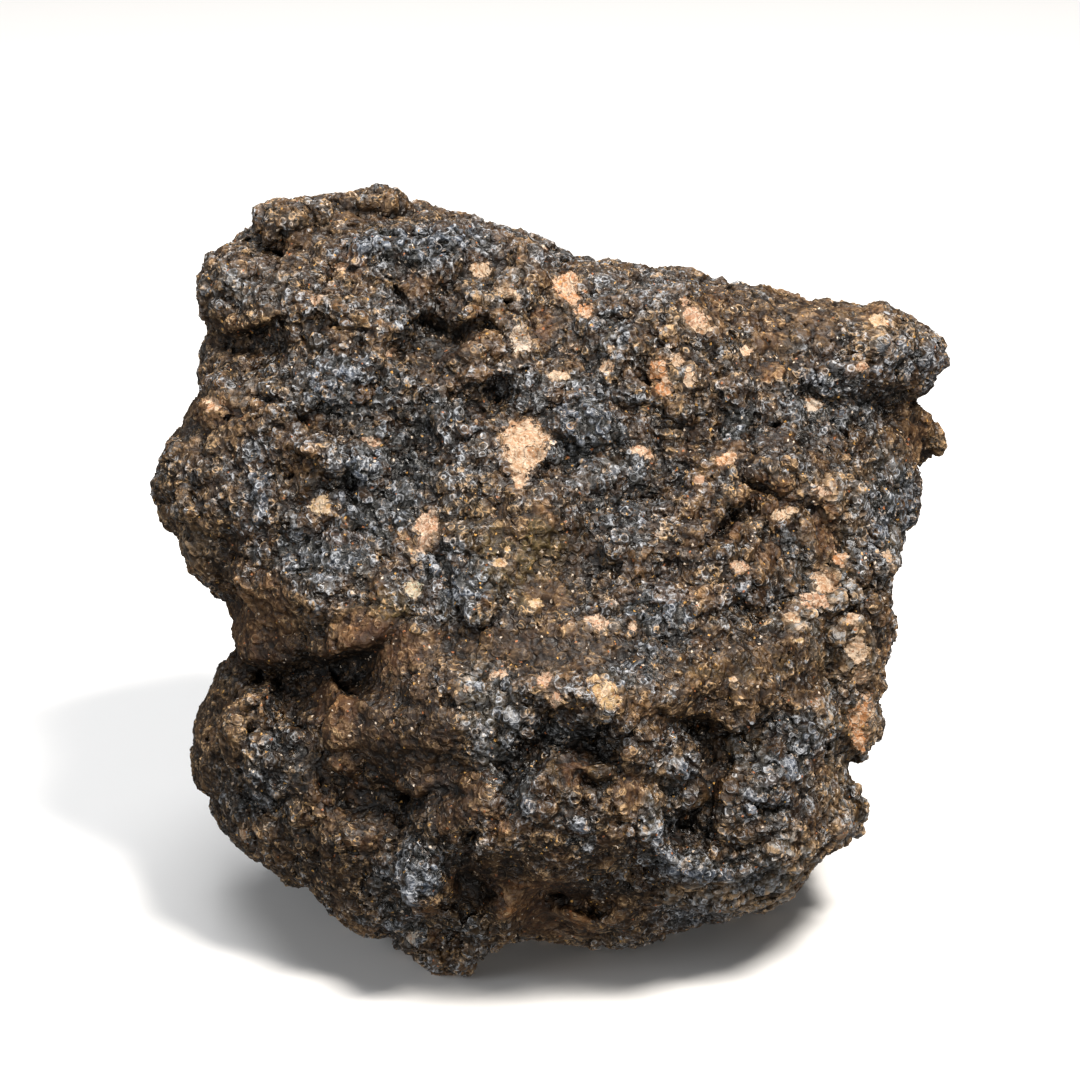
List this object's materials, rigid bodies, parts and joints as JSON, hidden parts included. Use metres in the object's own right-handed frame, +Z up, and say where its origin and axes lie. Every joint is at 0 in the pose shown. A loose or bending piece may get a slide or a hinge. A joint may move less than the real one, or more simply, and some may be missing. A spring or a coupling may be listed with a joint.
{
  "type": "lunar meteorite",
  "caption": "Irregular fist-sized lump of dark crusty breccia with rounded lobes, a deep left undercut, a broad dimpled face and pale clasts, standing on a flat resting facet.",
  "frame": {"origin": "middle of the footprint of the whole stone, at the height of the flat resting face", "axes": "+Z up, +X to the right across the broad dimpled face, which looks along -Y and leans back; +Y goes through the stone to its back"},
  "size_m": [0.0818, 0.0725, 0.0733],
  "materials": {
    "stone": "rough granular crust, charcoal to blue-grey glassy grains with brown patina, rust in the pits and pale tan clasts"
  },
  "bodies": {
    "root": {"stone": "stone"}
  },
  "joints": []
}
